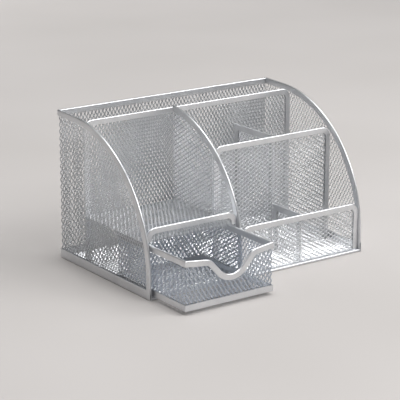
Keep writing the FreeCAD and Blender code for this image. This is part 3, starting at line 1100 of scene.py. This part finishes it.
@dataclass
class Drawer:
    """The drawer: one band of mesh bent round four corners, a floor, and strips above and below."""

    shop: Workshop
    pitch: Pair = (4.0 * MM, 6.0 * MM)
    seam: float = 0.16 * MM
    floor_reach: float = 0.4 * MM
    rim: StripSection = field(default_factory=StripSection)

    def __post_init__(self) -> None:
        """Reads the drawer's outline from its packed strips."""
        front, back = Block.of("drawer_front_bottom_strip"), Block.of("drawer_back_bottom_strip")
        half = self.rim.thickness / 2
        self.left, self.right = front.low.x + half, front.high.x - half
        self.front, self.back = front.middle(1), back.middle(1)
        self.foot, self.top = front.low.z, Block.of("drawer_left_rim").high.z
        self.foot_strip = StripSection(front.high.z - front.low.z)
        self.scoop = ScoopEdge(front.low.x, front.high.x, self.top)

    def build(self) -> None:
        """Builds the four walls and the floor."""
        for name, level, outward in (("left", self.left, -1.0), ("right", self.right, 1.0)):
            self.build_wall(name, Facing.SIDEWAYS, level, (self.front, self.back), outward)
        sides = (self.left, self.right)
        self.build_wall("back", Facing.FRONT, self.back, sides, -1.0)
        self.build_wall("front", Facing.FRONT, self.front, sides, 1.0, self.scoop)
        self.build_floor()

    def build_wall(self, name: str, facing: Facing, level: float, corners: Pair, outward: float,
                   scoop: Optional[ScoopEdge] = None) -> None:
        """Builds one wall: its mesh, the rim above it and the strip below it.

        Args:
            name: which wall it is.
            facing: the way it faces.
            level: its middle plane.
            corners: the places of its two bent corners.
            outward: the side of its outer face along its normal.
            scoop: the shape of its upper edge, where that isn't straight.
        """
        low, high = corners
        edge, foot, top = self.shop.hidden_edge, self.foot, self.top
        ends = (low + self.seam, high - self.seam)
        if scoop:
            outline, rim = scoop.path(low, high, edge), scoop.path(*ends)
        else:
            outline, rim = [(low, top - edge), (high, top - edge)], [(end, top) for end in ends]
        outline += [(high, foot + edge), (low, foot + edge)]
        pitch = (fitted(high - low, self.pitch[0]), self.pitch[1])
        self.shop.sheet(f"drawer_{name}_mesh", facing, level, outline, pitch, (low, foot),
                        body=Body.DRAWER, bends=(Bend(low, -outward), Bend(high, outward)))
        base = [(high, foot), (low, foot)]
        for part, path, section in (("rim", rim, self.rim),
                                    ("bottom_strip", base, self.foot_strip)):
            self.shop.strip(f"drawer_{name}_{part}", facing, level, path, section, Body.DRAWER,
                            (-outward, outward))

    def build_floor(self) -> None:
        """Builds the drawer's mesh floor, its edges held in the bottom strips."""
        reach = self.floor_reach
        outline = rectangle(self.left - reach, self.right + reach,
                            self.front - reach, self.back + reach)
        level = Block.of("drawer_floor_mesh").middle(2)
        self.shop.sheet("drawer_floor_mesh", Facing.UP, level, outline, self.pitch,
                        (self.left, self.front), body=Body.DRAWER, lean=1.0)


@dataclass(frozen=True)
class Lamp:
    """A square soft lamp."""

    name: str
    place: Place
    watts: float
    width: float = 0.8

    def hang(self, aim: Vector) -> None:
        """Hangs the lamp in its place.

        Args:
            aim: the point that it shines at.
        """
        light = bpy.data.lights.new(self.name, "AREA")
        light.size, light.energy = self.width, self.watts
        holder = into_scene(self.name, light)
        holder.location = self.place
        holder.rotation_mode = "QUATERNION"
        holder.rotation_quaternion = (aim - holder.location).to_track_quat("-Z", "Y")


@dataclass
class Studio:
    """The pale table, the soft light from above, the lamps round the table and the camera."""

    table_width: float = 12.0
    laminate: TableLaminate = TableLaminate()
    aim: Place = (0.0, 0.06, 0.05)
    top_light: float = 1.8
    top_light_angle: float = math.radians(24)
    lamps: tuple[Lamp, ...] = (
        Lamp("front_right_lamp", (1.1, -1.1, 1.4), 28.0, 1.3),
        Lamp("front_lamp", (0.1, -1.4, 1.4), 8.0),
        Lamp("right_lamp", (1.4, 0.2, 1.4), 3.0),
        Lamp("back_lamp", (0.4, 2.0, 0.6), 6.5),
        Lamp("left_lamp", (-1.2, 0.7, 1.2), 3.0))
    room_colour: str = "#D8DADD"
    room_light: float = 0.08
    camera_place: Place = (-0.81371, -1.05793, 0.45615)
    camera_azimuth: float = math.radians(-35.482)
    camera_elevation: float = math.radians(16.361)
    focal_length: float = 152.5
    sensor_width: float = 36.0
    clip_start: float = 0.05
    clip_end: float = 50.0

    def build(self) -> None:
        """Builds the table, the light and the camera."""
        self.build_table()
        self.build_light()
        self.build_camera()

    def build_table(self) -> None:
        """Lays the table that the stand rests on."""
        half = self.table_width / 2
        mesh = drawn("table", rectangle(-half, half, -half, half), True, True)
        into_scene("table", mesh)
        mesh.materials.append(self.laminate.build())

    def build_light(self) -> None:
        """Hangs the light from above and the lamps, and sets the room's own light."""
        sun = bpy.data.lights.new("top_light", "SUN")
        sun.angle, sun.energy = self.top_light_angle, self.top_light
        into_scene("top_light", sun)
        for lamp in self.lamps:
            lamp.hang(Vector(self.aim))
        room = bpy.data.worlds.new("room")
        bpy.context.scene.world = room
        room.use_nodes = True
        shade = room.node_tree.nodes["Background"]
        shade.inputs["Color"].default_value = linear_colour(self.room_colour)
        shade.inputs["Strength"].default_value = self.room_light

    def build_camera(self) -> None:
        """Places the camera as the photograph was taken."""
        lens = bpy.data.cameras.new("camera")
        lens.lens, lens.sensor_width = self.focal_length, self.sensor_width
        lens.clip_start, lens.clip_end = self.clip_start, self.clip_end
        camera = into_scene("camera", lens)
        level = math.cos(self.camera_elevation)
        back = Vector((math.sin(self.camera_azimuth) * level,
                       -math.cos(self.camera_azimuth) * level, math.sin(self.camera_elevation)))
        camera.location = self.camera_place
        camera.rotation_mode = "QUATERNION"
        camera.rotation_quaternion = (-back).to_track_quat("-Z", "Y")
        bpy.context.scene.camera = camera


def main() -> None:
    """Builds the stand and its drawer, then the studio round them."""
    logging.basicConfig(level=logging.INFO, format="%(message)s")
    for leftover in list(bpy.data.objects):
        bpy.data.objects.remove(leftover)
    bpy.context.scene.view_settings.view_transform = "Standard"
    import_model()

    coats = (PowderCoat("powder_coated_mesh", "#D9DBDE", "#EEEFF1"),
             PowderCoat("powder_coated_strip"),
             # The drawer's mesh gets the same silver coat made darker and bluer: painted shade of
             # the drawer in its bay.
             PowderCoat("powder_coated_drawer_mesh_painted_shade", "#BFC6D1", "#D8DDE5", 0.36),
             PowderCoat("powder_coated_drawer_strip"))
    shop = Workshop(Finishes(*(coat.build() for coat in coats)))

    shell = OuterShell(shop)
    shell.build()
    for name, facing, long_way, radius, lean in (
            ("rear_divider", Facing.FRONT, LongWay.UPRIGHT, ROUND_CORNER, -1.0),
            ("mid_divider", Facing.FRONT, LongWay.LEVEL, ROUND_CORNER, 1.0),
            ("front_panel", Facing.FRONT, LongWay.LEVEL, ROUND_CORNER, 1.0),
            ("rear_cross_divider", Facing.SIDEWAYS, LongWay.UPRIGHT, 0.0, -1.0),
            ("front_cross_divider", Facing.SIDEWAYS, LongWay.UPRIGHT, 0.0, -1.0)):
        FramedWall(shop, name, facing, long_way, radius, lean).build()
    CentrePartition(shop, shell.curve).build()
    Shelf(shop).build()
    Drawer(shop).build()
    for piece in shop.pieces:
        LOG.info("%s: %d faces", piece.name, len(piece.data.polygons))
    Studio().build()


if __name__ == "__main__":
    main()
